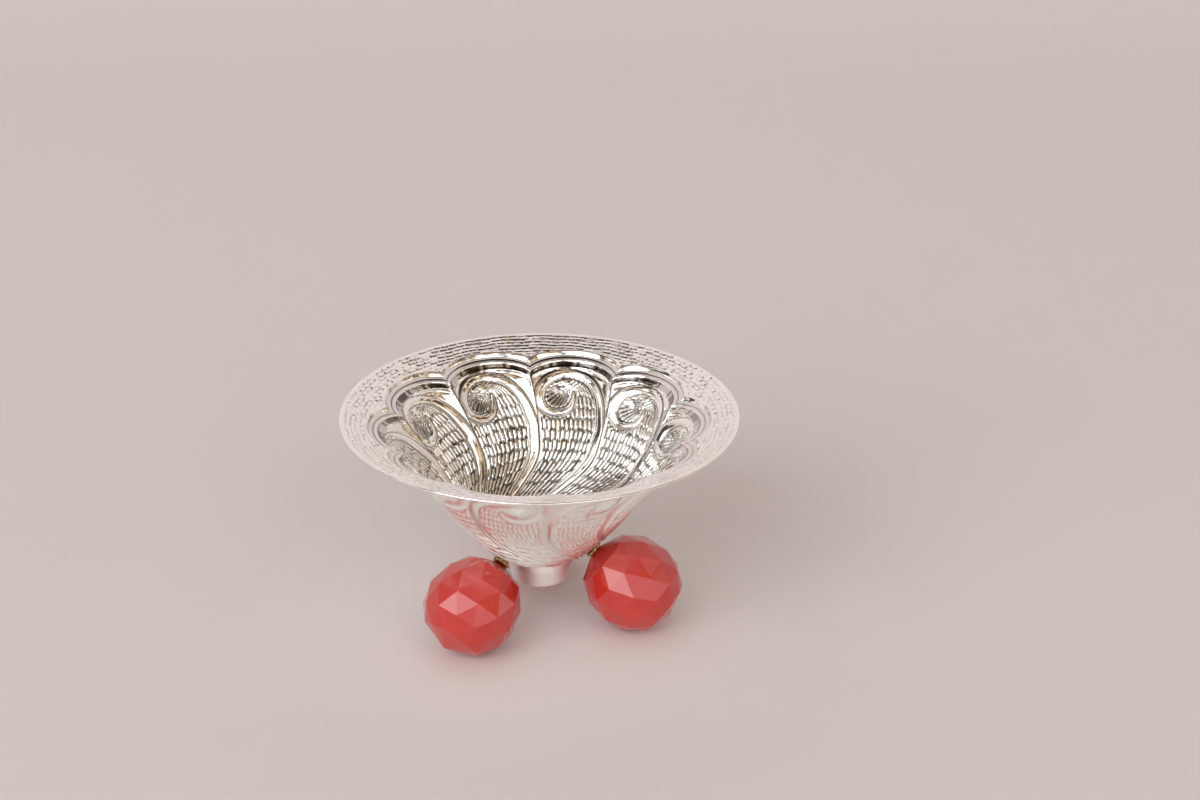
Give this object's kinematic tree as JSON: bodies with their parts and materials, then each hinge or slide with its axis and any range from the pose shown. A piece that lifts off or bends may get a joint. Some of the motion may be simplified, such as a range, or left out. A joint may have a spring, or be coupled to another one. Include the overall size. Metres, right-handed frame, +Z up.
{
  "type": "offering bowl",
  "caption": "Flared offering bowl in chased silver with swirled lobes and scalloped mouldings, on a plain foot cup and faceted coral-red balls.",
  "frame": {"origin": "on the table, under the centre of the rim", "axes": "+Z up, +X to the right and +Y away, seen from the front between the two front balls"},
  "size_m": [0.16, 0.16, 0.0924],
  "materials": {
    "chased_silver": "polished silver, hand chased",
    "plain_silver": "polished silver, plain",
    "coral_stone": "faceted and polished, translucent",
    "brass": "satin, darkened in the grooves"
  },
  "bodies": {
    "root": {"bowl_shell": "chased_silver", "foot_cup": "plain_silver", "ball_front_left": "coral_stone", "ball_front_right": "coral_stone", "ball_rear": "coral_stone", "post_front_left": "plain_silver", "post_front_right": "plain_silver", "post_rear": "plain_silver", "collar_front_left": "brass", "collar_front_right": "brass", "collar_rear": "brass"}
  },
  "joints": []
}
